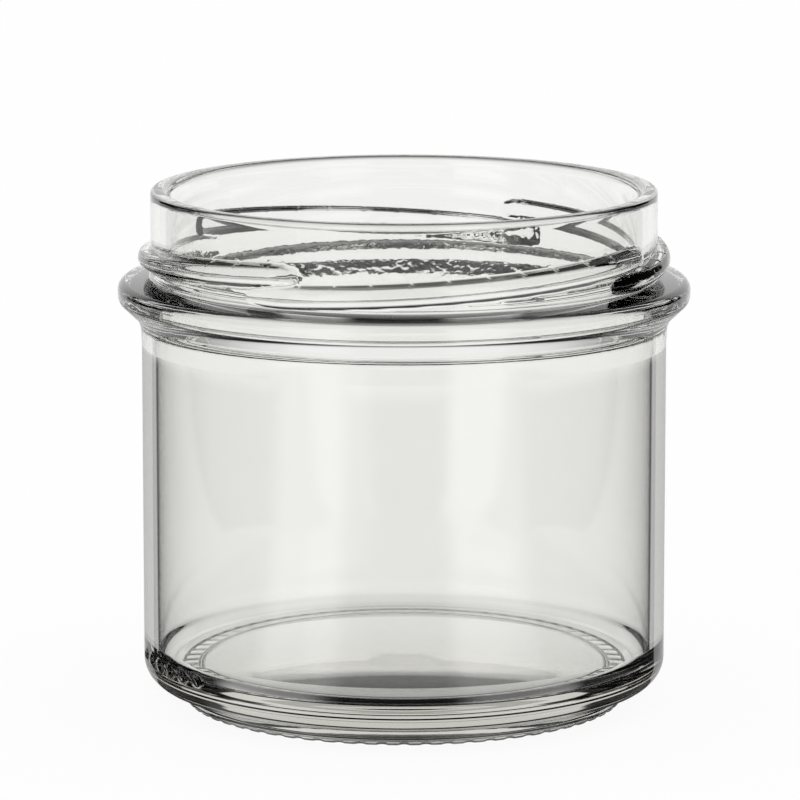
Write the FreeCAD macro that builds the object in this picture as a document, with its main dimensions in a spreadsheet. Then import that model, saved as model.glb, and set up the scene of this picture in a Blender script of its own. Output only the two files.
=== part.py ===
"""A straight-sided glass jar for a four-lug twist cap: one solid of glass, open at the top.

The jar stands on a ribbed ring at height 0, with its axis on Z. All lengths are millimetres and all
angles are degrees, counted about Z from X. The section is turned about the axis, the inside is cut
from it, and the lugs, the ribs of the foot and the heel dots are added round it.
"""
import FreeCAD, Part
import os

import Sketcher
from FreeCAD import Placement, Rotation, Vector

SIZES = {
    # overall
    "overall_height": 63.9,
    "body_radius": 32.35,
    "neck_inset": 1.15,       # how far the neck stands inside the body's radius
    # glass thickness
    "body_wall": 1.9,
    "neck_wall": 2.45,
    "floor_edge": 5.15,       # height of the inside floor where it meets the wall
    "floor_middle": 7.0,      # height of the inside floor on the axis
    # lip of the mouth
    "lip_outer_round": 0.5,
    "lip_inner_round": 1.1,
    # inside shoulder, where the mouth widens into the body: depths below the lip
    "shoulder_top_drop": 10.0,
    "shoulder_bottom_drop": 12.6,
    "shoulder_round": 2.0,
    "floor_round": 2.6,
    # transfer bead between the neck and the body
    "bead_reach": 2.95,       # how far it stands out of the body
    "bead_drop": 12.6,        # depth of its middle below the lip
    "bead_root_above": 2.0,   # from its middle up to where it leaves the neck
    "bead_root_below": 3.5,   # from its middle down to where it leaves the flare
    "bead_nose_above": 1.3,   # from its middle to the corners of its outer edge, before rounding
    "bead_nose_below": 0.9,
    "bead_nose_round": 1.2,
    "bead_top_fillet": 0.4,
    "bead_under_fillet": 2.5,
    "flare_reach": 0.2,       # slight widening of the body under the bead
    "flare_drop": 6.4,        # depth of the flare's start below the bead's middle
    # heel and foot
    "heel_height": 2.4,
    "heel_round": 2.6,
    "foot_inset": 5.35,       # how far the foot stands inside the body's radius
    "foot_width": 2.0,
    "foot_height": 2.1,
    "foot_round": 0.35,
    "push_up_edge": 0.65,     # step from the foot's inner edge up to the dome
    "push_up_draft": 0.25,
    "push_up_middle": 1.5,    # height of the underside on the axis
    # ribs pressed into the foot: the grooves between them
    "rib_groove_depth": 0.2,
    "rib_groove_round": 1.1,
    # lugs
    "lug_start": -37.0,       # angle of the lower end
    "lug_span": 103.0,
    "lug_start_drop": 9.6,    # depth of the lower end's middle below the lip
    "lug_rise": 3.0,
    "lug_thickness": 2.45,     # at its root
    "lug_reach": 1.5,
    "lug_root": 0.9,          # depth of the lug's root inside the neck wall
    # row of dots on the heel
    "dot_start": -169.0,
    "dot_span": 28.0,
    "dot_height": 6.6,
    "dot_radius": 0.8,        # at its root
    "dot_root": 0.5,          # depth of the dot's root inside the wall
    "dot_reach": 0.3,
}
COUNTS = {"lug_count": 4, "rib_count": 64, "dot_count": 6}

# Stations along a lug: how far along it they stand, and how much of its full section they have there.
LUG_STATIONS = [(0.0, 0.0), (0.04, 0.42), (0.09, 0.78), (0.16, 0.97), (0.33, 1.0), (0.5, 1.0),
                (0.67, 1.0), (0.84, 0.97), (0.91, 0.78), (0.96, 0.42), (1.0, 0.0)]
SMALLEST_SECTION = 0.3        # part of the lug's thickness left where it sinks into the neck
END_SINK = 0.4                # part of its reach by which the crown sinks below the neck at the ends

# Radii and heights that are sums of sizes, for total() to add up. A minus sign takes a size away.
NECK = ("body_radius", "-neck_inset")
BORE = ("body_radius", "-body_wall")
MOUTH = (*NECK, "-neck_wall")
BEAD = ("body_radius", "bead_reach")
FLARE = ("body_radius", "flare_reach")
FOOT_OUTER = ("body_radius", "-foot_inset")
FOOT_INNER = (*FOOT_OUTER, "-foot_width")
PUSH_UP = (*FOOT_INNER, "-push_up_draft")
BEAD_MIDDLE = ("overall_height", "-bead_drop")

doc = FreeCAD.newDocument("GlassJar")


def make_sheet():
    sheet = doc.addObject("Spreadsheet::Sheet", "Sizes")
    for row, (alias, value) in enumerate([*SIZES.items(), *COUNTS.items()], start=1):
        sheet.set(f"A{row}", alias)
        sheet.set(f"B{row}", str(value))
        sheet.setAlias(f"B{row}", alias)
    return sheet


def total(*terms):
    """Named sizes added up, or taken away behind a minus sign: the number and its expression."""
    number = sum(-SIZES[term[1:]] if term[0] == "-" else SIZES[term] for term in terms)
    expression = " ".join(f"- Sizes.{term[1:]}" if term[0] == "-" else f"+ Sizes.{term}" for term in terms)
    return number, expression.removeprefix("+ ")


def origin_plane(body, role):
    return next(feature for feature in body.Origin.OriginFeatures if feature.Role == role)


def new_sketch(body, name, role="XZ_Plane"):
    sketch = body.newObject("Sketcher::SketchObject", name)
    sketch.AttachmentSupport = [(origin_plane(body, role), "")]
    sketch.MapMode = "FlatFace"
    return sketch


def bind(sketch, constraint, expression):
    index = sketch.addConstraint(constraint)
    sketch.setExpression(f"Constraints[{index}]", expression)


def pin_point(sketch, geometry, end, across, up):
    """Holds a point of the sketch at a place given by two sizes. None means on the upright axis."""
    if across is None:
        sketch.addConstraint(Sketcher.Constraint("PointOnObject", geometry, end, -2))
    else:
        bind(sketch, Sketcher.Constraint("DistanceX", -1, 1, geometry, end, across[0]), across[1])
    if up is None:
        sketch.addConstraint(Sketcher.Constraint("PointOnObject", geometry, end, -1))
    else:
        bind(sketch, Sketcher.Constraint("DistanceY", -1, 1, geometry, end, up[0]), up[1])


def point_of(across, up):
    return Vector(across[0] if across else 0.0, up[0] if up else 0.0, 0.0)


def draw_outline(sketch, corners):
    """Closes a straight-edged outline through the corners, but arches its first side as a dome.

    The dome runs from the first corner, on the axis, to the second, with its centre on the axis.
    """
    points = [point_of(*corner) for corner in corners]
    top, edge = points[0], points[1]
    drop = top.y - edge.y
    radius = (edge.x ** 2 + drop ** 2) / (2 * drop)
    centre = Vector(0, top.y - radius, 0)
    circle = Part.Circle(centre, Vector(0, 0, 1), radius)
    sketch.addGeometry(Part.ArcOfCircle(circle, circle.parameter(edge), circle.parameter(top)), False)
    sketch.addConstraint(Sketcher.Constraint("PointOnObject", 0, 3, -2))
    pin_point(sketch, 0, 2, *corners[0])
    pin_point(sketch, 0, 1, *corners[1])
    for number in range(1, len(points)):
        start, end = points[number], points[(number + 1) % len(points)]
        sketch.addGeometry(Part.LineSegment(start, end), False)
        previous_end = 1 if number == 1 else 2
        sketch.addConstraint(Sketcher.Constraint("Coincident", number - 1, previous_end, number, 1))
        if number > 1:
            pin_point(sketch, number, 1, *corners[number])
    sketch.addConstraint(Sketcher.Constraint("Coincident", len(points) - 1, 2, 0, 2))


def check_faces(body, name, faces_before, copies=1):
    """Stops if a feature, or any copy of it, left the glass as it was: each copy adds at least a face."""
    doc.recompute()
    added = len(body.Shape.Faces) - faces_before
    if added < copies:
        raise RuntimeError(f"{name} added {added} faces, fewer than the {copies} they need")


def turn_section(body):
    """The outside of the jar, turned about its axis as solid glass."""
    sketch = new_sketch(body, "OutsideOutline")
    draw_outline(sketch, [
        (None, total("push_up_middle")),
        (total(*PUSH_UP), total("push_up_edge")),
        (total(*FOOT_INNER), None),
        (total(*FOOT_OUTER), None),
        (total(*FOOT_OUTER), total("foot_height")),
        (total("body_radius"), total("heel_height")),
        (total("body_radius"), total(*BEAD_MIDDLE, "-flare_drop")),
        (total(*FLARE), total(*BEAD_MIDDLE, "-bead_root_below")),
        (total(*BEAD), total(*BEAD_MIDDLE, "-bead_nose_below")),
        (total(*BEAD), total(*BEAD_MIDDLE, "bead_nose_above")),
        (total(*NECK), total(*BEAD_MIDDLE, "bead_root_above")),
        (total(*NECK), total("overall_height")),
        (None, total("overall_height")),
    ])
    turned = body.newObject("PartDesign::Revolution", "TurnedGlass")
    turned.Profile = sketch
    turned.ReferenceAxis = (sketch, ["V_Axis"])
    turned.Angle = 360
    doc.recompute()


def cut_inside(body):
    """The hollow of the jar, from its domed floor out through the mouth."""
    before = len(body.Shape.Faces)
    sketch = new_sketch(body, "InsideOutline")
    above_mouth = total("overall_height", "lip_outer_round")
    draw_outline(sketch, [
        (None, total("floor_middle")),
        (total(*BORE), total("floor_edge")),
        (total(*BORE), total("overall_height", "-shoulder_bottom_drop")),
        (total(*MOUTH), total("overall_height", "-shoulder_top_drop")),
        (total(*MOUTH), above_mouth),
        (None, above_mouth),
    ])
    hollow = body.newObject("PartDesign::Groove", "Hollow")
    hollow.Profile = sketch
    hollow.ReferenceAxis = (sketch, ["V_Axis"])
    hollow.Angle = 360
    check_faces(body, "the hollow", before)


def edges_at(shape, across, up):
    """Names of the round edges about the axis that have this radius and height."""
    names = []
    for number, edge in enumerate(shape.Edges, start=1):
        if edge.Degenerated or not isinstance(edge.Curve, Part.Circle):
            continue
        curve = edge.Curve
        off_axis = abs(curve.Center.x) + abs(curve.Center.y)
        if off_axis + abs(curve.Radius - across[0]) + abs(curve.Center.z - up[0]) < 1e-3:
            names.append(f"Edge{number}")
    return names


def round_edges(body, name, places, expression):
    """Rounds the edges that stand at the given radii and heights."""
    names = [edge for place in places for edge in edges_at(body.Shape, *place)]
    if len(names) != len(places):
        raise RuntimeError(f"{name}: found {len(names)} edges for {len(places)} places")
    base = body.Tip
    fillet = body.newObject("PartDesign::Fillet", name)
    fillet.Base = (base, names)
    fillet.setExpression("Radius", expression)
    doc.recompute()


def round_outside(body):
    bead_top = (total(*NECK), total(*BEAD_MIDDLE, "bead_root_above"))
    bead_under = (total(*FLARE), total(*BEAD_MIDDLE, "-bead_root_below"))
    nose_top = (total(*BEAD), total(*BEAD_MIDDLE, "bead_nose_above"))
    nose_under = (total(*BEAD), total(*BEAD_MIDDLE, "-bead_nose_below"))
    heel = (total("body_radius"), total("heel_height"))
    foot_edges = [(total(*FOOT_OUTER), (0.0, "")), (total(*FOOT_INNER), (0.0, ""))]
    lip = (total(*NECK), total("overall_height"))
    round_edges(body, "BeadNose", [nose_top, nose_under], "Sizes.bead_nose_round")
    round_edges(body, "BeadTopFillet", [bead_top], "Sizes.bead_top_fillet")
    round_edges(body, "BeadUnderFillet", [bead_under], "Sizes.bead_under_fillet")
    round_edges(body, "HeelRound", [heel], "Sizes.heel_round")
    round_edges(body, "FootRound", foot_edges, "Sizes.foot_round")
    round_edges(body, "LipOuterRound", [lip], "Sizes.lip_outer_round")


def round_inside(body):
    shoulder_bottom = (total(*BORE), total("overall_height", "-shoulder_bottom_drop"))
    shoulder_top = (total(*MOUTH), total("overall_height", "-shoulder_top_drop"))
    lip = (total(*MOUTH), total("overall_height"))
    round_edges(body, "FloorRound", [(total(*BORE), total("floor_edge"))], "Sizes.floor_round")
    round_edges(body, "ShoulderLowerRound", [shoulder_bottom], "Sizes.shoulder_round")
    round_edges(body, "ShoulderUpperRound", [shoulder_top], "Sizes.shoulder_round")
    round_edges(body, "LipInnerRound", [lip], "Sizes.lip_inner_round")


def lug_section(body, number, along, fullness):
    """One upright section of a lug: a straight root inside the wall and a round crown outside it."""
    sketch = new_sketch(body, f"LugSection{number}")
    sketch.AttachmentOffset = Placement(Vector(), Rotation(Vector(0, 1, 0), 1.0))
    angle = f"(Sizes.lug_start + {along} * Sizes.lug_span) * 1 deg"
    sketch.setExpression("AttachmentOffset.Rotation.Angle", angle)
    part = SMALLEST_SECTION + (1 - SMALLEST_SECTION) * fullness
    neck = total(*NECK)
    root = total(*NECK, "-lug_root")
    depth_share = fullness - (1 - fullness) * END_SINK
    crown = (neck[0] + depth_share * SIZES["lug_reach"], f"{neck[1]} + {depth_share:.4f} * Sizes.lug_reach")
    start = total("overall_height", "-lug_start_drop")
    middle = start[0] + along * SIZES["lug_rise"]
    middle_expression = f"{start[1]} + {along} * Sizes.lug_rise"
    half = 0.5 * part * SIZES["lug_thickness"]
    half_expression = f"{0.5 * part:.4f} * Sizes.lug_thickness"
    low = (middle - half, f"{middle_expression} - {half_expression}")
    high = (middle + half, f"{middle_expression} + {half_expression}")
    corners = [Vector(root[0], low[0], 0), Vector(crown[0], middle, 0), Vector(root[0], high[0], 0)]
    sketch.addGeometry(Part.Arc(*corners), False)
    sketch.addGeometry(Part.LineSegment(corners[2], corners[0]), False)
    sketch.addConstraint(Sketcher.Constraint("Coincident", 0, 2, 1, 1))
    sketch.addConstraint(Sketcher.Constraint("Coincident", 1, 2, 0, 1))
    pin_point(sketch, 0, 1, root, low)
    pin_point(sketch, 0, 2, root, high)
    radius = (half ** 2 + (crown[0] - root[0]) ** 2) / (2 * (crown[0] - root[0]))
    reach_expression = f"({crown[1]} - ({root[1]}))"
    radius_expression = f"(({half_expression}) ^ 2 + {reach_expression} ^ 2) / (2 * {reach_expression})"
    bind(sketch, Sketcher.Constraint("Radius", 0, radius), radius_expression)
    return sketch


def pattern_about_axis(body, name, original, count, angle):
    pattern = body.newObject("PartDesign::PolarPattern", name)
    pattern.Originals = [original]
    pattern.Axis = (origin_plane(body, "Z_Axis"), [""])
    pattern.setExpression("Angle", angle)
    pattern.setExpression("Occurrences", f"Sizes.{count}")
    body.Tip = pattern
    doc.recompute()


def add_lugs(body):
    """The lugs that the cap's own lugs slide under: each rises anticlockwise as seen from above."""
    before = len(body.Shape.Faces)
    sections = [lug_section(body, number, *station) for number, station in enumerate(LUG_STATIONS)]
    doc.recompute()
    lug = body.newObject("PartDesign::AdditiveLoft", "Lug")
    lug.Profile = sections[0]
    lug.Sections = sections[1:]
    doc.recompute()
    pattern_about_axis(body, "Lugs", lug, "lug_count", "360 deg")
    check_faces(body, "the lugs", before, COUNTS["lug_count"])


def cut_ribs(body):
    """Round grooves across the foot ring, which leave ribs for the jar to stand on."""
    before = len(body.Shape.Faces)
    sketch = new_sketch(body, "GrooveOutline", "YZ_Plane")
    sketch.setExpression("AttachmentOffset.Base.z", total(*PUSH_UP)[1])
    drop = total("rib_groove_depth", "-rib_groove_round")
    sketch.addGeometry(Part.Circle(Vector(0, drop[0], 0), Vector(0, 0, 1), SIZES["rib_groove_round"]), False)
    pin_point(sketch, 0, 3, None, drop)
    bind(sketch, Sketcher.Constraint("Radius", 0, SIZES["rib_groove_round"]), "Sizes.rib_groove_round")
    groove = body.newObject("PartDesign::Pocket", "FootGroove")
    groove.Profile = sketch
    groove.Reversed = True
    groove.setExpression("Length", "Sizes.foot_width + 2 * Sizes.push_up_draft")
    doc.recompute()
    pattern_about_axis(body, "FootGrooves", groove, "rib_count", "360 deg")
    check_faces(body, "the foot grooves", before, COUNTS["rib_count"])


def add_heel_dots(body):
    """A short row of round dots low on the wall, as a mould leaves them."""
    before = len(body.Shape.Faces)
    sketch = new_sketch(body, "DotOutline", "YZ_Plane")
    sketch.AttachmentOffset = Placement(Vector(), Rotation(Vector(0, 1, 0), 1.0))
    sketch.setExpression("AttachmentOffset.Rotation.Angle", "Sizes.dot_start * 1 deg")
    inside_wall = "(Sizes.body_radius - Sizes.dot_root)"
    sketch.setExpression("AttachmentOffset.Base.x", f"{inside_wall} * sin(Sizes.dot_start * 1 deg)")
    sketch.setExpression("AttachmentOffset.Base.y", "Sizes.dot_height")
    sketch.setExpression("AttachmentOffset.Base.z", f"{inside_wall} * cos(Sizes.dot_start * 1 deg)")
    sketch.addGeometry(Part.Circle(Vector(), Vector(0, 0, 1), SIZES["dot_radius"]), False)
    sketch.addConstraint(Sketcher.Constraint("Coincident", 0, 3, -1, 1))
    bind(sketch, Sketcher.Constraint("Radius", 0, SIZES["dot_radius"]), "Sizes.dot_radius")
    dot = body.newObject("PartDesign::Pad", "HeelDot")
    dot.Profile = sketch
    dot.setExpression("Length", "Sizes.dot_root + Sizes.dot_reach")
    doc.recompute()
    pattern_about_axis(body, "HeelDots", dot, "dot_count", "Sizes.dot_span * 1 deg")
    check_faces(body, "the heel dots", before, COUNTS["dot_count"])


def make_jar():
    body = doc.addObject("PartDesign::Body", "Jar")
    body.Label = "jar"
    body.Placement = Placement()
    turn_section(body)
    round_outside(body)
    cut_inside(body)
    round_inside(body)
    cut_ribs(body)
    add_heel_dots(body)
    add_lugs(body)
    return body


def export(parts):
    doc.recompute()
    failed = [item.Name for item in doc.Objects if {"Invalid", "Error"} & set(item.State)]
    if failed:
        raise RuntimeError(f"these objects failed: {failed}")
    os.makedirs("parts", exist_ok=True)
    for part in parts:
        if part.Shape.isNull() or not part.Shape.isValid() or len(part.Shape.Solids) != 1:
            raise RuntimeError(f"{part.Label} isn't one valid solid")
        part.Shape.exportStep(f"parts/{part.Label}.step")
        size = part.Shape.BoundBox
        print(f"{part.Label}: {size.XLength:.2f} x {size.YLength:.2f} x {size.ZLength:.2f} mm, "
              f"{part.Shape.Volume / 1000:.2f} cubic centimetres")


make_sheet()
export([make_jar()])
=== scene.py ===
# %% [markdown]
# # A clear glass jar for a twist cap
#
# The jar is a single piece of pressed and blown glass: a straight body, a rounded bead, a neck
# with four slanting lugs, a plain fire-polished lip, and a ribbed ring under the base that it
# stands on. The CAD model already has this form and size. Clear glass is unforgiving, though:
# everything behind it is seen through four curved faces, so a facet or a crease that paint would
# hide shows as a broken line. This lesson turns the same form again as a finer and smoother mesh,
# and then lights it as glass is lit in a studio, with bright surroundings that the thick parts
# bend out of view.

# %% Load the frame
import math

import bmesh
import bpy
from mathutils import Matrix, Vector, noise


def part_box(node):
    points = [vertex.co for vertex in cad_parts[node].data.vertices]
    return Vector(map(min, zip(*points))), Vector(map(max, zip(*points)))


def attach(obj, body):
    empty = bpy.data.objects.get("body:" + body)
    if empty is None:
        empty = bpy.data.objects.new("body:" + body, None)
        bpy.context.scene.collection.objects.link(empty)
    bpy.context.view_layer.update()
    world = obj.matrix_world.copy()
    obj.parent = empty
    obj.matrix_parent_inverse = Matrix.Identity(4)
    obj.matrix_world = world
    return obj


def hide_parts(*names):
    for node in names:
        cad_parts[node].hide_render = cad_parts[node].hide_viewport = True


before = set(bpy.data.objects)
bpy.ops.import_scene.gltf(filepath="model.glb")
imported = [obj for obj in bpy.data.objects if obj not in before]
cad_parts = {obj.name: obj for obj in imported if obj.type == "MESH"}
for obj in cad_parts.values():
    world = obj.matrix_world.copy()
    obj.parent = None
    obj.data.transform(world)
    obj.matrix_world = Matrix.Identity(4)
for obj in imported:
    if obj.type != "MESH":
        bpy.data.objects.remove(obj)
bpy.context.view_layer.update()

# %% [markdown]
# ## Measures
#
# All sizes are millimetres, as on a mould drawing, and are turned into metres by one factor. The
# height and the width across the bead are read from the CAD model and not typed again, so the two
# can't disagree about how large the jar is.

MM = 0.001
TOUCH = 0.001 * MM  # points this close are the same point
SLACK = 0.01 * MM  # allowance when a point is tested against a radius

low_corner, high_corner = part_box("jar")
HEIGHT = high_corner.z
BEAD_RADIUS = high_corner.x
print(f"the jar is {HEIGHT / MM:.1f} mm high and {2 * BEAD_RADIUS / MM:.1f} mm across its bead")

# %% [markdown]
# ## The outline of the glass
#
# A mould and a plunger make a jar round, so one outline turned about the axis gives all of it but
# the relief. The outline could be traced as a long list of points, or drawn as a curve and
# converted. Here it is a short list of corners, each with a rounding radius, because that is how
# a mould drawing gives it: the corners are places, and the rounds are tool sizes. It starts under
# the base, on the axis, and runs out under the foot, up the outside, over the lip, and down the
# inside to the middle of the floor.

# %% Places on the outline
BODY_RADIUS = 32.35 * MM
NECK_RADIUS = 31.2 * MM
BODY_BORE = 30.45 * MM
MOUTH_BORE = 28.75 * MM
FOOT_OUTER = 27.2 * MM
FOOT_INNER = 25.1 * MM
FOOT_HEIGHT = 2.2 * MM
HEEL_HEIGHT = 2.4 * MM
PUSH_UP_DRAFT = 0.25 * MM
PUSH_UP_RADIUS = FOOT_INNER - PUSH_UP_DRAFT
PUSH_UP_EDGE = 0.6 * MM
PUSH_UP_MIDDLE = 1.5 * MM
FLOOR_EDGE = 5.1 * MM
FLOOR_MIDDLE = 7.15 * MM
BEAD_MIDDLE = 51.3 * MM
BEAD_ROOT_BELOW = 3.5 * MM
BEAD_NOSE_BELOW = 0.9 * MM
BEAD_NOSE_ABOVE = 1.3 * MM
BEAD_ROOT_ABOVE = 2.0 * MM
FLARE_REACH = 0.2 * MM
FLARE_DROP = 6.4 * MM
SHOULDER_TOP = 53.9 * MM
SHOULDER_BOTTOM = 51.3 * MM

# %% Rounding radii
PUSH_UP_ROUND = 0.9 * MM
FOOT_ROUND = 0.4 * MM
FOOT_ROOT_ROUND = 0.15 * MM
HEEL_ROUND = 3.2 * MM
FLARE_ROUND = 1.2 * MM
BEAD_UNDER_ROUND = 2.5 * MM
BEAD_NOSE_ROUND = 1.2 * MM
BEAD_TOP_ROUND = 0.4 * MM
LIP_OUTER_ROUND = 0.5 * MM
LIP_INNER_ROUND = 1.1 * MM
SHOULDER_ROUND = 2.0 * MM
FLOOR_ROUND = 2.6 * MM


# %% Corners of the outline
def dome(edge_radius, edge_height, middle_height, steps):
    """Points of a shallow dome, from the axis out to one step inside its edge."""
    points = []
    for step in range(steps):
        share = step / steps
        height = edge_height + (middle_height - edge_height) * (1 - share ** 2)
        points.append((edge_radius * share, height, 0, 0))
    return points


# radius, height, rounding radius and number of steps in the rounding
corners = [
    *dome(PUSH_UP_RADIUS, PUSH_UP_EDGE, PUSH_UP_MIDDLE, 7),
    (PUSH_UP_RADIUS, PUSH_UP_EDGE, PUSH_UP_ROUND, 5),
    (FOOT_INNER, 0, FOOT_ROUND, 3),
    (FOOT_OUTER, 0, FOOT_ROUND, 3),
    (FOOT_OUTER, FOOT_HEIGHT, FOOT_ROOT_ROUND, 3),
    (BODY_RADIUS, HEEL_HEIGHT, HEEL_ROUND, 10),
    (BODY_RADIUS, BEAD_MIDDLE - FLARE_DROP, FLARE_ROUND, 2),
    (BODY_RADIUS + FLARE_REACH, BEAD_MIDDLE - BEAD_ROOT_BELOW, BEAD_UNDER_ROUND, 8),
    (BEAD_RADIUS, BEAD_MIDDLE - BEAD_NOSE_BELOW, BEAD_NOSE_ROUND, 8),
    (BEAD_RADIUS, BEAD_MIDDLE + BEAD_NOSE_ABOVE, BEAD_NOSE_ROUND, 9),
    (NECK_RADIUS, BEAD_MIDDLE + BEAD_ROOT_ABOVE, BEAD_TOP_ROUND, 3),
    (NECK_RADIUS, HEIGHT, LIP_OUTER_ROUND, 6),
    (MOUTH_BORE, HEIGHT, LIP_INNER_ROUND, 9),
    (MOUTH_BORE, SHOULDER_TOP, SHOULDER_ROUND, 8),
    (BODY_BORE, SHOULDER_BOTTOM, SHOULDER_ROUND, 8),
    (BODY_BORE, FLOOR_EDGE, FLOOR_ROUND, 10),
    *reversed(dome(BODY_BORE, FLOOR_EDGE, FLOOR_MIDDLE, 8)),
]
print(f"the outline has {len(corners)} corners")

# %% [markdown]
# ## Rounding the corners and adding rows
#
# Rounding a corner of a line is a vertex bevel. Its offset is how far back along each side the
# round starts, which for a radius is that radius times the tangent of half the turn. Relief can
# only be raised where there are points to move, so after the bevels some runs get extra rows: the
# neck, for the lugs, the foot of the wall, for the dots, and the inside from the shoulder up, for
# the ripples. Everywhere else the rows stay long, because fine rows all the way up would double
# the mesh.

# %% Bands that need more rows
LUG_BAND = (BEAD_MIDDLE + 1.2 * MM, 60.2 * MM)
DOT_BAND = (5.2 * MM, 8.0 * MM)
RIPPLE_BAND = (45.0 * MM, 55.8 * MM)
FINE_ROW = 0.25 * MM
RIPPLE_ROW = 0.5 * MM
COARSE_ROW = 5.0 * MM
MID_WALL = 31.0 * MM  # radius between the inside and the outside of the glass


def turn_at(before, corner, after):
    """Angle by which the outline changes direction at a corner."""
    arriving = Vector((corner[0] - before[0], corner[1] - before[1]))
    leaving = Vector((after[0] - corner[0], after[1] - corner[1]))
    return arriving.angle(leaving)


def rows_needed(start, end):
    """Number of rows on a run of the outline: by length, and by height inside a band."""
    rise = abs(end.z - start.z)
    middle = 0.5 * (start + end)
    rows = math.ceil((end - start).length / COARSE_ROW)
    bands = [(RIPPLE_BAND[0], HEIGHT, RIPPLE_ROW)]
    if middle.x > MID_WALL:
        bands = [(*LUG_BAND, FINE_ROW), (*DOT_BAND, FINE_ROW)]
    for band_low, band_high, row in bands:
        if band_low < middle.z < band_high:
            rows = max(rows, math.ceil(rise / row))
    return rows


# %% Draw the outline
def round_corner(mesh, number, vert):
    """Bevels one corner of the chain to the radius in the list."""
    rounding, steps = corners[number][2:]
    if rounding:
        turn = turn_at(corners[number - 1], corners[number], corners[number + 1])
        bmesh.ops.bevel(mesh, geom=[vert], offset=rounding * math.tan(turn / 2),
                        offset_type="OFFSET", segments=steps, profile=0.5, affect="VERTICES",
                        material=-1)


def draw_outline():
    """A chain of edges through the corners, rounded and divided into rows."""
    mesh = bmesh.new()
    chain = [mesh.verts.new((radius, 0, height)) for radius, height, _, _ in corners]
    for start, end in zip(chain, chain[1:]):
        mesh.edges.new((start, end))
    for number in range(1, len(corners) - 1):
        round_corner(mesh, number, chain[number])
    for band in (LUG_BAND, DOT_BAND, RIPPLE_BAND):
        for height in band:
            bmesh.ops.bisect_plane(mesh, geom=mesh.edges[:] + mesh.verts[:],
                                   plane_co=(0, 0, height), plane_no=(0, 0, 1))
    for edge in list(mesh.edges):
        pieces = rows_needed(*(vert.co for vert in edge.verts))
        if pieces > 1:
            bmesh.ops.subdivide_edges(mesh, edges=[edge], cuts=pieces - 1)
    return mesh


outline = draw_outline()
neck_rows = sorted(vert.co.z for vert in outline.verts
                   if abs(vert.co.x - NECK_RADIUS) < TOUCH and vert.co.z < LUG_BAND[1] + TOUCH)
LUG_ROW = (neck_rows[-1] - neck_rows[0]) / (len(neck_rows) - 1)
print(f"the rounded outline has {len(outline.verts)} points")
print(f"and its rows under the lugs are {LUG_ROW / MM:.3f} mm apart")

# %% [markdown]
# ## Turning the glass
#
# One spin about the axis makes the whole skin, outside and inside together, as one closed
# surface. That matters for glass: light has to enter and leave through faces that bound the same
# solid. The seam is merged by the spin, the two middles by removing doubles, and the faces are
# then made to point outwards.

# %% Spin the outline
SEGMENTS = 448


def turn_outline(mesh):
    bmesh.ops.spin(mesh, geom=mesh.verts[:] + mesh.edges[:], cent=(0, 0, 0), axis=(0, 0, 1),
                   dvec=(0, 0, 0), angle=math.tau, steps=SEGMENTS, use_merge=True,
                   use_duplicate=False)
    bmesh.ops.remove_doubles(mesh, verts=mesh.verts[:], dist=TOUCH)
    bmesh.ops.recalc_face_normals(mesh, faces=mesh.faces[:])
    return mesh


glass = turn_outline(outline)
print(f"the turned glass has {len(glass.faces)} faces")
print(f"and a volume of {glass.calc_volume() / MM ** 3 / 1000:.2f} cubic centimetres")

# %% [markdown]
# ## The lugs
#
# Four lugs slant up the neck, each starting below the end of the one before, and a cap's own lugs
# catch on them. They are part of the same skin, as they are in the mould: nothing is stuck on. A
# separate lug pushed into the neck would leave a hidden glass face inside the wall, and it would
# show as a ghost. So the points already there are moved: a rule gives how far the skin stands out
# at an angle and a height. Each lug is round below and has a narrow shelf on top, and its two
# ends taper over different lengths.

# %% The form of a lug
LUG_COUNT = 4
LUG_START = math.radians(-37)
LUG_SPAN = math.radians(103)
LUG_START_HEIGHT = 54.3 * MM
LUG_RISE = 3.0 * MM
LUG_HALF = 1.44 * MM
LUG_REACH = 1.6 * MM
LUG_START_STRETCH = 5.0
LUG_END_STRETCH = 2.2
CROWN_BELOW = 0.9
CROWN_ABOVE = 0.3
SHELF_SHARE = 0.88


def lugs_near(angle):
    """Middle height and remaining half height of each lug that passes this angle."""
    half_span = LUG_SPAN / 2
    near = []
    for number in range(LUG_COUNT):
        middle_angle = LUG_START + half_span + number * math.tau / LUG_COUNT
        offset = (angle - middle_angle + math.pi) % math.tau - math.pi
        stretch = LUG_START_STRETCH if offset < 0 else LUG_END_STRETCH
        past_end = max(0.0, (abs(offset) - half_span) * NECK_RADIUS / stretch + LUG_HALF)
        if past_end < LUG_HALF:
            middle_height = LUG_START_HEIGHT + (offset / LUG_SPAN + 0.5) * LUG_RISE
            near.append((middle_height, math.sqrt(LUG_HALF ** 2 - past_end ** 2)))
    return near


def lug_relief(height, middle_height, half):
    """How far a lug stands out of the neck at a height: round below, with a shelf on top."""
    above = height - middle_height
    shelf = half * SHELF_SHARE
    if above >= shelf + 0.5 * FINE_ROW or above <= -half:
        return 0.0
    fullness = (half / LUG_HALF) ** (2 * CROWN_BELOW)
    crown = CROWN_ABOVE if above > 0 else CROWN_BELOW
    return LUG_REACH * fullness * (1 - (above / half) ** 2) ** crown


print(f"each lug is {2 * LUG_HALF / MM:.2f} mm high and stands out {LUG_REACH / MM:.1f} mm")

# %% [markdown]
# A lug slants and the rows are level, so the edge of its shelf would cross them in small steps,
# and smooth shading would turn the corner into a slope. Two things keep it crisp. The rows near
# an edge are shifted a little, fading out a few rows away, so that one row always runs along it.
# Then the edge of the shelf and its root are marked as sharp lines.

# %% Rows along the shelf
SNAP_FULL = 2.5  # rows from the edge that take the whole shift
SNAP_NONE = 7.0  # rows from the edge that take none of it


def nearest_edge(height, near):
    """Height of the shelf's edge on the nearest lug."""
    edges = [middle_height + half * SHELF_SHARE for middle_height, half in near]
    return min(edges, key=lambda place: abs(place - height))


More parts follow.
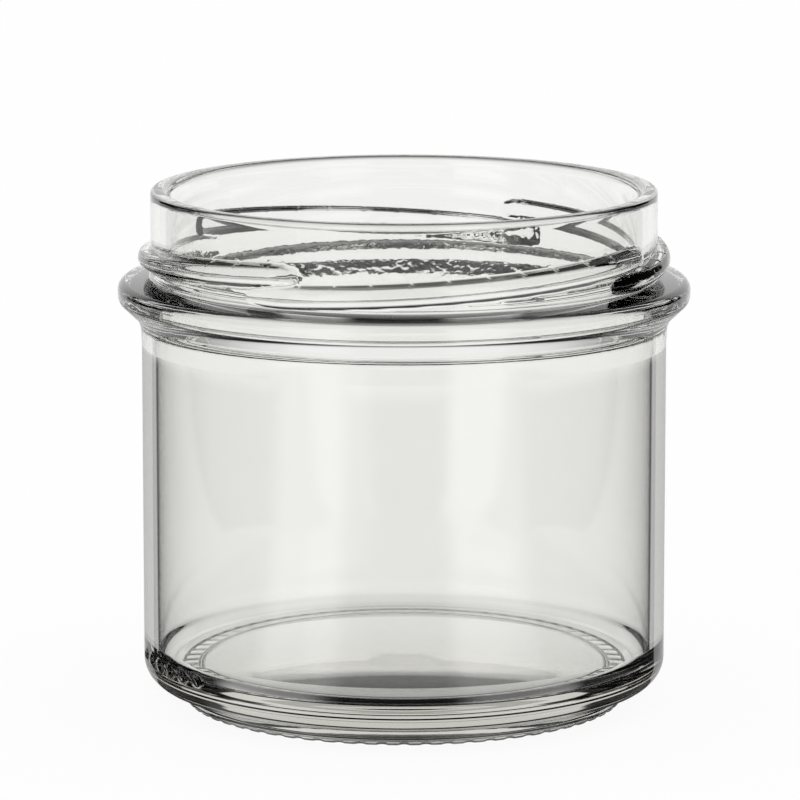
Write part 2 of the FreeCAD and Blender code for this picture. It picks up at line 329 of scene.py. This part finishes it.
def row_on_shelf(height, near):
    """Moves a row a little, so that one row always runs along the edge of a lug's shelf."""
    if not near:
        return height
    edge = nearest_edge(height, near)
    shift = edge - (neck_rows[0] + round((edge - neck_rows[0]) / LUG_ROW) * LUG_ROW)
    rows_away = abs(height - edge) / LUG_ROW
    weight = min(1.0, max(0.0, (SNAP_NONE - rows_away) / (SNAP_NONE - SNAP_FULL)))
    return height + shift * weight


def crease(mesh, verts):
    """A sharp line through the points, also across the faces that it cuts corner to corner."""
    bmesh.ops.connect_verts(mesh, verts=verts)
    on_line = set(verts)
    for vert in verts:
        for edge in vert.link_edges:
            if edge.other_vert(vert) in on_line:
                edge.smooth = False


# %% Raise the lugs
ON_ROW = 0.01  # share of a row within which a point is on it


def raise_lugs(mesh):
    edge_line, root_line = [], []
    moved = 0
    for vert in mesh.verts:
        radius = math.hypot(vert.co.x, vert.co.y)
        if not LUG_BAND[0] <= vert.co.z <= LUG_BAND[1] or radius <= NECK_RADIUS - SLACK:
            continue
        near = lugs_near(math.atan2(vert.co.y, vert.co.x))
        on_neck = vert.co.z > neck_rows[0] - TOUCH
        height = row_on_shelf(vert.co.z, near) if on_neck else vert.co.z
        relief = max([lug_relief(height, *lug) for lug in near], default=0.0)
        vert.co.z = height
        vert.co.xy *= max(radius, NECK_RADIUS + relief) / radius
        moved += 1
        if near and on_neck:
            rows_above = (height - nearest_edge(height, near)) / LUG_ROW
            if abs(rows_above) < ON_ROW:
                edge_line.append(vert)
            elif abs(rows_above - 1) < ON_ROW:
                root_line.append(vert)
    crease(mesh, edge_line)
    crease(mesh, root_line)
    print(f"raised the lugs with {moved} points")


raise_lugs(glass)

# %% [markdown]
# ## The row of dots
#
# A mould leaves a short row of dots low on the wall, as a mark that a machine can read. They
# could be small domes joined to the glass, but each would leave a hidden face, as a lug would.
# They are low swellings of the wall itself.

# %% The row of dots above the heel
DOT_COUNT = 6
DOT_START = math.radians(-169)
DOT_SPAN = math.radians(28)
DOT_HEIGHT = 6.6 * MM
DOT_RADIUS = 0.8 * MM
DOT_REACH = 0.3 * MM
DOT_CROWN = 0.6


def raise_dots(mesh):
    moved = 0
    for vert in mesh.verts:
        radius = math.hypot(vert.co.x, vert.co.y)
        if radius < BODY_RADIUS - SLACK or not DOT_BAND[0] < vert.co.z < DOT_BAND[1]:
            continue
        angle = math.atan2(vert.co.y, vert.co.x)
        for number in range(DOT_COUNT):
            dot_angle = DOT_START + number * DOT_SPAN / (DOT_COUNT - 1)
            along, up = (angle - dot_angle) * radius, vert.co.z - DOT_HEIGHT
            distance = math.hypot(along, up) / DOT_RADIUS
            if distance < 1:
                vert.co.xy *= 1 + DOT_REACH * (1 - distance ** 2) ** DOT_CROWN / radius
                moved += 1
    print(f"raised the dots with {moved} points")


raise_dots(glass)

# %% [markdown]
# ## The ribs of the foot
#
# The ring that the jar stands on is ribbed, so that only small patches of hot glass touch the
# line on which it leaves the mould. Sixty-four thin cuts with a boolean would leave slivers
# beside each groove. Lifting the points between the ribs keeps the rows even. The grooves are
# deepest at the outer edge and fade inwards, so that the inner edge stays one clean line when it
# is seen through the base.

# %% Cut the grooves
RIB_COUNT = 64
GROOVE_DEPTH = 0.15 * MM
GROOVE_HALF = 0.76 * MM
GROOVE_TOP = FOOT_HEIGHT / 2


def cut_ribs(mesh):
    pitch = math.tau / RIB_COUNT
    moved = 0
    for vert in mesh.verts:
        radius = math.hypot(vert.co.x, vert.co.y)
        if not FOOT_INNER < radius < FOOT_OUTER + SLACK or vert.co.z > GROOVE_TOP:
            continue
        offset = (math.atan2(vert.co.y, vert.co.x) + pitch / 2) % pitch - pitch / 2
        across = abs(offset) * radius / GROOVE_HALF
        if across < 1:
            outward = min(1.0, (radius - FOOT_INNER) / (FOOT_OUTER - FOOT_INNER))
            fade = 1 - vert.co.z / GROOVE_TOP
            vert.co.z += GROOVE_DEPTH * outward * (1 - across ** 2) * fade
            moved += 1
    print(f"cut the foot's grooves with {moved} points")


cut_ribs(glass)

# %% [markdown]
# ## Ripples inside the shoulder
#
# The outside of a jar takes the smooth face of the mould, but its inside is shaped by air alone,
# and where the shoulder turns in it isn't quite even. From outside, these ripples break a dark
# line into a band of speckles. A bump in the material alone would leave the outline of the bend
# smooth, so the points are moved by noise. The ripples fade out at both ends of their band, and
# from the back of the jar to the front.

# %% Ripple the inside
RIPPLE_DEPTH = 0.07 * MM
RIPPLE_LENGTH = Vector((1.5, 1.5, 1.3)) * MM
RIPPLE_FADE = 4  # each end fades over this part of the band: a quarter


def ripple_shoulder(mesh):
    low, high = RIPPLE_BAND
    moved = 0
    for vert in mesh.verts:
        radius = math.hypot(vert.co.x, vert.co.y)
        if low < vert.co.z < high and radius < MID_WALL:
            fade = min(1.0, RIPPLE_FADE * (vert.co.z - low) / (high - low),
                       RIPPLE_FADE * (high - vert.co.z) / (high - low))
            fade *= 0.5 + 0.5 * vert.co.y / radius
            place = Vector(along / length for along, length in zip(vert.co, RIPPLE_LENGTH))
            vert.co.xy *= 1 + RIPPLE_DEPTH * fade * noise.noise(place) / radius
            moved += 1
    print(f"rippled the shoulder with {moved} points")


ripple_shoulder(glass)

# %% [markdown]
# ## One piece of glass
#
# Smooth shading gives each point the average direction of the faces round it. Beside a rounding,
# that average tilts a long face over its whole length, and glass shows the tilt as a bent line.
# Extra rows beside every rounding would cure it and cost many faces. Weighting the average by
# area costs none: the large flat faces win, and the lines marked as sharp stay sharp.

# %% Make it an object
def make_piece(name, mesh):
    data = bpy.data.meshes.new(name)
    mesh.to_mesh(data)
    mesh.free()
    data.shade_smooth()
    piece = bpy.data.objects.new(name, data)
    bpy.context.scene.collection.objects.link(piece)
    return piece


jar = make_piece("glass_jar", glass)
even = jar.modifiers.new("even_shading", "WEIGHTED_NORMAL")
even.mode = "FACE_AREA"
even.keep_sharp = True
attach(jar, "root")
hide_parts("jar")
print(f"{jar.name} has {sum(len(face.vertices) - 2 for face in jar.data.polygons)} triangles")


# %% A helper for wiring nodes
class Nodes:
    """Adds nodes to a tree and wires them."""

    def __init__(self, tree):
        self.nodes = tree.nodes
        self.links = tree.links

    def add(self, kind):
        return self.nodes.new("ShaderNode" + kind)

    def wire(self, value, socket):
        """Links an output to a socket, or sets the socket to a number."""
        if isinstance(value, (int, float)):
            socket.default_value = value
        else:
            self.links.new(value, socket)

    def math(self, operation, first, second=0.0):
        node = self.add("Math")
        node.operation = operation
        self.wire(first, node.inputs[0])
        self.wire(second, node.inputs[1])
        return node.outputs[0]

    def product(self, first, *others):
        for other in others:
            first = self.math("MULTIPLY", first, other)
        return first

    def step(self, value, start, end, low=0.0, high=1.0):
        """A soft step from low to high as the value goes from start to end."""
        node = self.add("MapRange")
        node.interpolation_type = "SMOOTHSTEP"
        for number, setting in enumerate((value, start, end, low, high)):
            self.wire(setting, node.inputs[number])
        return node.outputs[0]

    def mix(self, share, first, second):
        """Plain blend of two numbers."""
        node = self.add("Mix")
        node.data_type = "FLOAT"
        self.wire(share, node.inputs[0])
        self.wire(first, node.inputs[2])
        self.wire(second, node.inputs[3])
        return node.outputs[0]

    def split(self, place):
        """The X, Y and Z of a place."""
        node = self.add("SeparateXYZ")
        self.wire(place, node.inputs[0])
        return node.outputs


# %% [markdown]
# ## The glass
#
# Soda-lime glass is melted from sand, soda and lime. It bends light with an index of 1.52, and a
# trace of iron takes a little of what passes. A tint on the surface alone would colour a thick
# heel no more than a thin wall, and a tint in the volume alone would make the heel too dark, so
# each carries a part of it. The finest grain of the ripples is smaller than the rows of the mesh,
# so it is a bump in the material, and only on the back of the shoulder.

# %% Glass material
SURFACE_TINT = (0.970, 0.970, 0.954, 1)
REFRACTION = 1.52
VOLUME_TINT = (0.86, 0.855, 0.835, 1)
VOLUME_DENSITY = 50.0
GRAIN_FADE = 2.0 * MM
GRAIN_SIZE = 1.1 * MM
GRAIN_DEPTH = 0.12 * MM
GRAIN_DETAIL = 1.0
GRAIN_BACK = 0.5 * MOUTH_BORE


def ripple_grain(tree):
    """Surface direction of the glass, with a fine grain on the back of the shoulder."""
    place = tree.add("TexCoord").outputs["Object"]
    part = tree.split(place)
    low, high = RIPPLE_BAND
    above = tree.step(part["Z"], low, low + GRAIN_FADE)
    below = tree.step(part["Z"], high - GRAIN_FADE, high, 1.0, 0.0)
    at_back = tree.step(part["Y"], 0.0, GRAIN_BACK)
    grain = tree.add("TexNoise")
    grain.inputs["Scale"].default_value = 1 / GRAIN_SIZE
    grain.inputs["Detail"].default_value = GRAIN_DETAIL
    tree.wire(place, grain.inputs["Vector"])
    bump = tree.add("Bump")
    bump.inputs["Distance"].default_value = GRAIN_DEPTH
    rippled = tree.product(above, below, at_back)
    tree.wire(tree.product(grain.outputs["Fac"], rippled), bump.inputs["Height"])
    return bump.outputs["Normal"]


def make_glass():
    material = bpy.data.materials.new("clear_glass")
    material.use_nodes = True
    tree = Nodes(material.node_tree)
    shader = tree.nodes["Principled BSDF"]
    shader.inputs["Base Color"].default_value = SURFACE_TINT
    shader.inputs["Roughness"].default_value = 0.0
    shader.inputs["IOR"].default_value = REFRACTION
    shader.inputs["Transmission Weight"].default_value = 1.0
    tree.wire(ripple_grain(tree), shader.inputs["Normal"])
    absorption = tree.add("VolumeAbsorption")
    absorption.inputs["Color"].default_value = VOLUME_TINT
    absorption.inputs["Density"].default_value = VOLUME_DENSITY
    tree.wire(absorption.outputs["Volume"], tree.nodes["Material Output"].inputs["Volume"])
    return material


jar.data.materials.append(make_glass())
print(f"{jar.name} is made of {jar.data.materials[0].name}")

# %% [markdown]
# ## The studio
#
# Glass has no colour of its own to show, so what draws it is what stands around it. A
# photographer puts a pale surface behind the jar and dark cards beside it: the walls then stay
# bright, and each edge that bends light sideways picks up a thin dark line. Two soft panels in
# front leave a tall pale streak on each side. Cards that stood in the scene would show through
# the jar from other sides, so here they are a pattern of brightness in the floor and the world,
# and only light that has bounced off glass sees it. The floor and the world both need the
# pattern, so it is a node group.

# %% A pattern of bright and dark surroundings
CLEAR_ANGLE = math.radians(34.25)
EDGE_SOFTNESS = math.radians(1.5)
PANEL_SOFTNESS = math.radians(6)
# where each panel starts and ends, and how bright it is
PANELS = [(math.radians(-54), math.radians(-24), 1.0), (math.radians(18), math.radians(50), 0.75)]
CARD_GREY = 0.03


def make_surroundings():
    group = bpy.data.node_groups.new("studio_surroundings", "ShaderNodeTree")
    group.interface.new_socket("Point", in_out="INPUT", socket_type="NodeSocketVector")
    for name in ("Offset", "Back", "Card"):
        group.interface.new_socket(name, in_out="INPUT", socket_type="NodeSocketFloat")
    group.interface.new_socket("Brightness", in_out="OUTPUT", socket_type="NodeSocketFloat")
    given = group.nodes.new("NodeGroupInput").outputs
    result = group.nodes.new("NodeGroupOutput")
    tree = Nodes(group)
    part = tree.split(given["Point"])
    across, along = part["X"], part["Y"]
    beside = tree.math("SUBTRACT", tree.math("ABSOLUTE", across), given["Offset"])
    aside = tree.math("ARCTAN2", beside, along)
    behind = tree.step(aside, CLEAR_ANGLE - EDGE_SOFTNESS, CLEAR_ANGLE + EDGE_SOFTNESS, 1.0, 0.0)
    behind = tree.product(behind, tree.math("GREATER_THAN", along, 0.0))
    from_front = tree.math("ARCTAN2", across, tree.product(along, -1.0))
    brightness = tree.mix(behind, given["Card"], given["Back"])
    for start, end, level in PANELS:
        rising = tree.step(from_front, start - PANEL_SOFTNESS, start + PANEL_SOFTNESS)
        falling = tree.step(from_front, end - PANEL_SOFTNESS, end + PANEL_SOFTNESS, 1.0, 0.0)
        brightness = tree.math("MAXIMUM", brightness, tree.product(rising, falling, level))
    tree.wire(brightness, result.inputs["Brightness"])
    return group


surroundings = make_surroundings()
print(f"the surroundings have {len(surroundings.nodes)} nodes")


# %% How light has reached the floor or the world
SOME_BOUNCE = 0.5  # the depth counts whole bounces, so any bounce is above one half


def light_so_far(tree):
    """Whether light has met the glass at all, and whether it has bounced off it."""
    path = tree.add("LightPath").outputs
    met_glass = tree.math("MAXIMUM", path["Is Glossy Ray"], path["Is Transmission Ray"])
    bounced = tree.math("GREATER_THAN", path["Glossy Depth"], SOME_BOUNCE)
    return met_glass, bounced


def add_surroundings(tree, place, offset, back, card):
    """Brightness of the surroundings at a place."""
    around = tree.add("Group")
    around.node_tree = surroundings
    for value, name in ((place, "Point"), (offset, "Offset"), (back, "Back"), (card, "Card")):
        tree.wire(value, around.inputs[name])
    return around.outputs["Brightness"]


# %% [markdown]
# ## The floor
#
# Seen directly, the floor is a pale sheet that glows almost white and keeps only a trace of the
# jar's shadow. Seen through glass its glow carries a painted reflection, as if it were a polished
# table: it is bright at a shallow angle and dark when looked at from above, which is what draws
# the dark lines in the heel and the bead. Under the jar the glow has a painted shadow, darker in
# front. A separate shaded sheet could do this too, but it would show past the jar's edge. For
# light that has bounced, the side cards end some way off, and beyond them the floor is pale all
# round.

# %% Floor
FLOOR_RADIUS = 4.0
FLOOR_SEGMENTS = 96
FLOOR_GLOW = 0.93
FLOOR_COLOUR = (0.9, 0.9, 0.9, 1)
CARD_RADIUS = 31 * MM
CARD_OFFSET = CARD_RADIUS / math.cos(CLEAR_ANGLE)
CARD_END = (0.262, 0.285)
NEAR_BACK = 0.62
FAR_CARD = 0.8
# painted reflection: through the glass the floor glows brighter at a shallow angle, grey from
# above
FACING_BLEND = 0.5  # at one half, Facing is one minus the cosine of the slant
STEEP_FACING = 0.11
SHALLOW_FACING = 0.57
TABLE_GREY = 0.17
# painted shadow on the floor under the jar, seen through the glass: darker in front than behind
UNDER_JAR = (24 * MM, 27 * MM)
PAINTED_SHADOW_FRONT = 0.5
PAINTED_SHADOW_BACK = 0.85


def floor_through_glass(tree, bounced):
    """Brightness of the floor for light that has met the glass: painted reflection and shadow."""
    place = tree.add("TexCoord").outputs["Object"]
    distance = tree.add("VectorMath")
    distance.operation = "LENGTH"
    tree.wire(place, distance.inputs[0])
    away = distance.outputs["Value"]
    back = tree.step(away, *CARD_END, NEAR_BACK, 1.0)
    card = tree.step(away, *CARD_END, CARD_GREY, FAR_CARD)
    around = add_surroundings(tree, place, CARD_OFFSET, back, card)
    # painted reflection of the backdrop: the glow is bright at a shallow angle and grey from
    # above
    slant = tree.add("LayerWeight")
    slant.inputs["Blend"].default_value = FACING_BLEND
    painted_reflection = tree.step(slant.outputs["Facing"], STEEP_FACING, SHALLOW_FACING, TABLE_GREY, 1.0)
    # painted shadow: the floor's glow under the jar is dimmed, more in front
    front_to_back = tree.split(place)["Y"]
    painted_shade = tree.step(front_to_back, -UNDER_JAR[0], UNDER_JAR[0], PAINTED_SHADOW_FRONT, PAINTED_SHADOW_BACK)
    painted_shadow = tree.mix(tree.step(away, *UNDER_JAR), painted_shade, 1.0)
    return tree.product(tree.mix(bounced, 1.0, around), painted_reflection, painted_shadow)


def paint_floor():
    material = bpy.data.materials.new("pale_floor")
    material.use_nodes = True
    tree = Nodes(material.node_tree)
    tree.nodes.remove(tree.nodes["Principled BSDF"])
    met_glass, bounced = light_so_far(tree)
    glow = tree.add("Emission")
    seen = floor_through_glass(tree, bounced)
    tree.wire(tree.mix(met_glass, 1.0, seen), glow.inputs["Strength"])
    matt = tree.add("BsdfDiffuse")
    matt.inputs["Color"].default_value = FLOOR_COLOUR
    blend = tree.add("MixShader")
    tree.wire(tree.math("MAXIMUM", met_glass, FLOOR_GLOW), blend.inputs["Fac"])
    tree.wire(matt.outputs["BSDF"], blend.inputs[1])
    tree.wire(glow.outputs["Emission"], blend.inputs[2])
    tree.wire(blend.outputs["Shader"], tree.nodes["Material Output"].inputs["Surface"])
    return material


def make_floor():
    mesh = bmesh.new()
    bmesh.ops.create_circle(mesh, cap_ends=True, segments=FLOOR_SEGMENTS, radius=FLOOR_RADIUS)
    floor = make_piece("floor", mesh)
    floor.data.materials.append(paint_floor())
    return floor


floor = make_floor()
print(f"the floor is {2 * FLOOR_RADIUS:.0f} m across")

# %% [markdown]
# ## The world
#
# The room is white wherever the camera looks straight at it. Light that has met the glass sees
# the same cards as on the floor, and above them a dark ceiling. Real studios have one too, and
# the upper faces of the lugs, the bead and the lip get their dark lines from it.

# %% World
CEILING_START = 0.36
CEILING_END = 0.54
CEILING_GREY = 0.02


def make_world():
    world = bpy.data.worlds.new("studio")
    bpy.context.scene.world = world
    world.use_nodes = True
    tree = Nodes(world.node_tree)
    background = tree.nodes["Background"]
    background.inputs["Color"].default_value = (1, 1, 1, 1)
    direction = tree.add("TexCoord").outputs["Generated"]
    around = add_surroundings(tree, direction, 0.0, 1.0, CARD_GREY)
    met_glass, bounced = light_so_far(tree)
    level = tree.mix(bounced, 1.0, around)
    height = tree.split(direction)["Z"]
    below_ceiling = tree.step(height, CEILING_START, CEILING_END, 1.0, 0.0)
    lit = tree.math("MAXIMUM", tree.product(level, below_ceiling), CEILING_GREY)
    tree.wire(tree.mix(met_glass, 1.0, lit), background.inputs["Strength"])
    return world


world = make_world()
print(f"the world has {len(world.node_tree.nodes)} nodes")

# %% [markdown]
# ## The camera
#
# A long lens from far off keeps the walls upright and the ellipses of the lip and the base alike,
# as in a picture for a catalogue. The camera looks down a little, so that the mouth shows open.

# %% Camera
CAMERA_PITCH = 0.1847
CAMERA_DISTANCE = 21.666 * BODY_RADIUS
AIM = Vector((-0.5 * MM, 0, 37.4 * MM))
LENS = 254.5
SENSOR_WIDTH = 36
CLIP_START = 0.01


def make_camera():
    camera = bpy.data.objects.new("camera", bpy.data.cameras.new("camera"))
    bpy.context.scene.collection.objects.link(camera)
    camera.data.lens = LENS
    camera.data.sensor_width = SENSOR_WIDTH
    camera.data.clip_start = CLIP_START
    middle = Vector((0, 0, BODY_RADIUS))
    towards_camera = Vector((0, -math.cos(CAMERA_PITCH), math.sin(CAMERA_PITCH)))
    camera.location = middle + CAMERA_DISTANCE * towards_camera
    camera.rotation_euler = (AIM - camera.location).to_track_quat("-Z", "Y").to_euler()
    bpy.context.scene.camera = camera
    return camera


camera = make_camera()
print(f"the camera stands {camera.location.length:.2f} m away, with a {LENS} mm lens")
bpy.context.scene.view_settings.view_transform = "Standard"
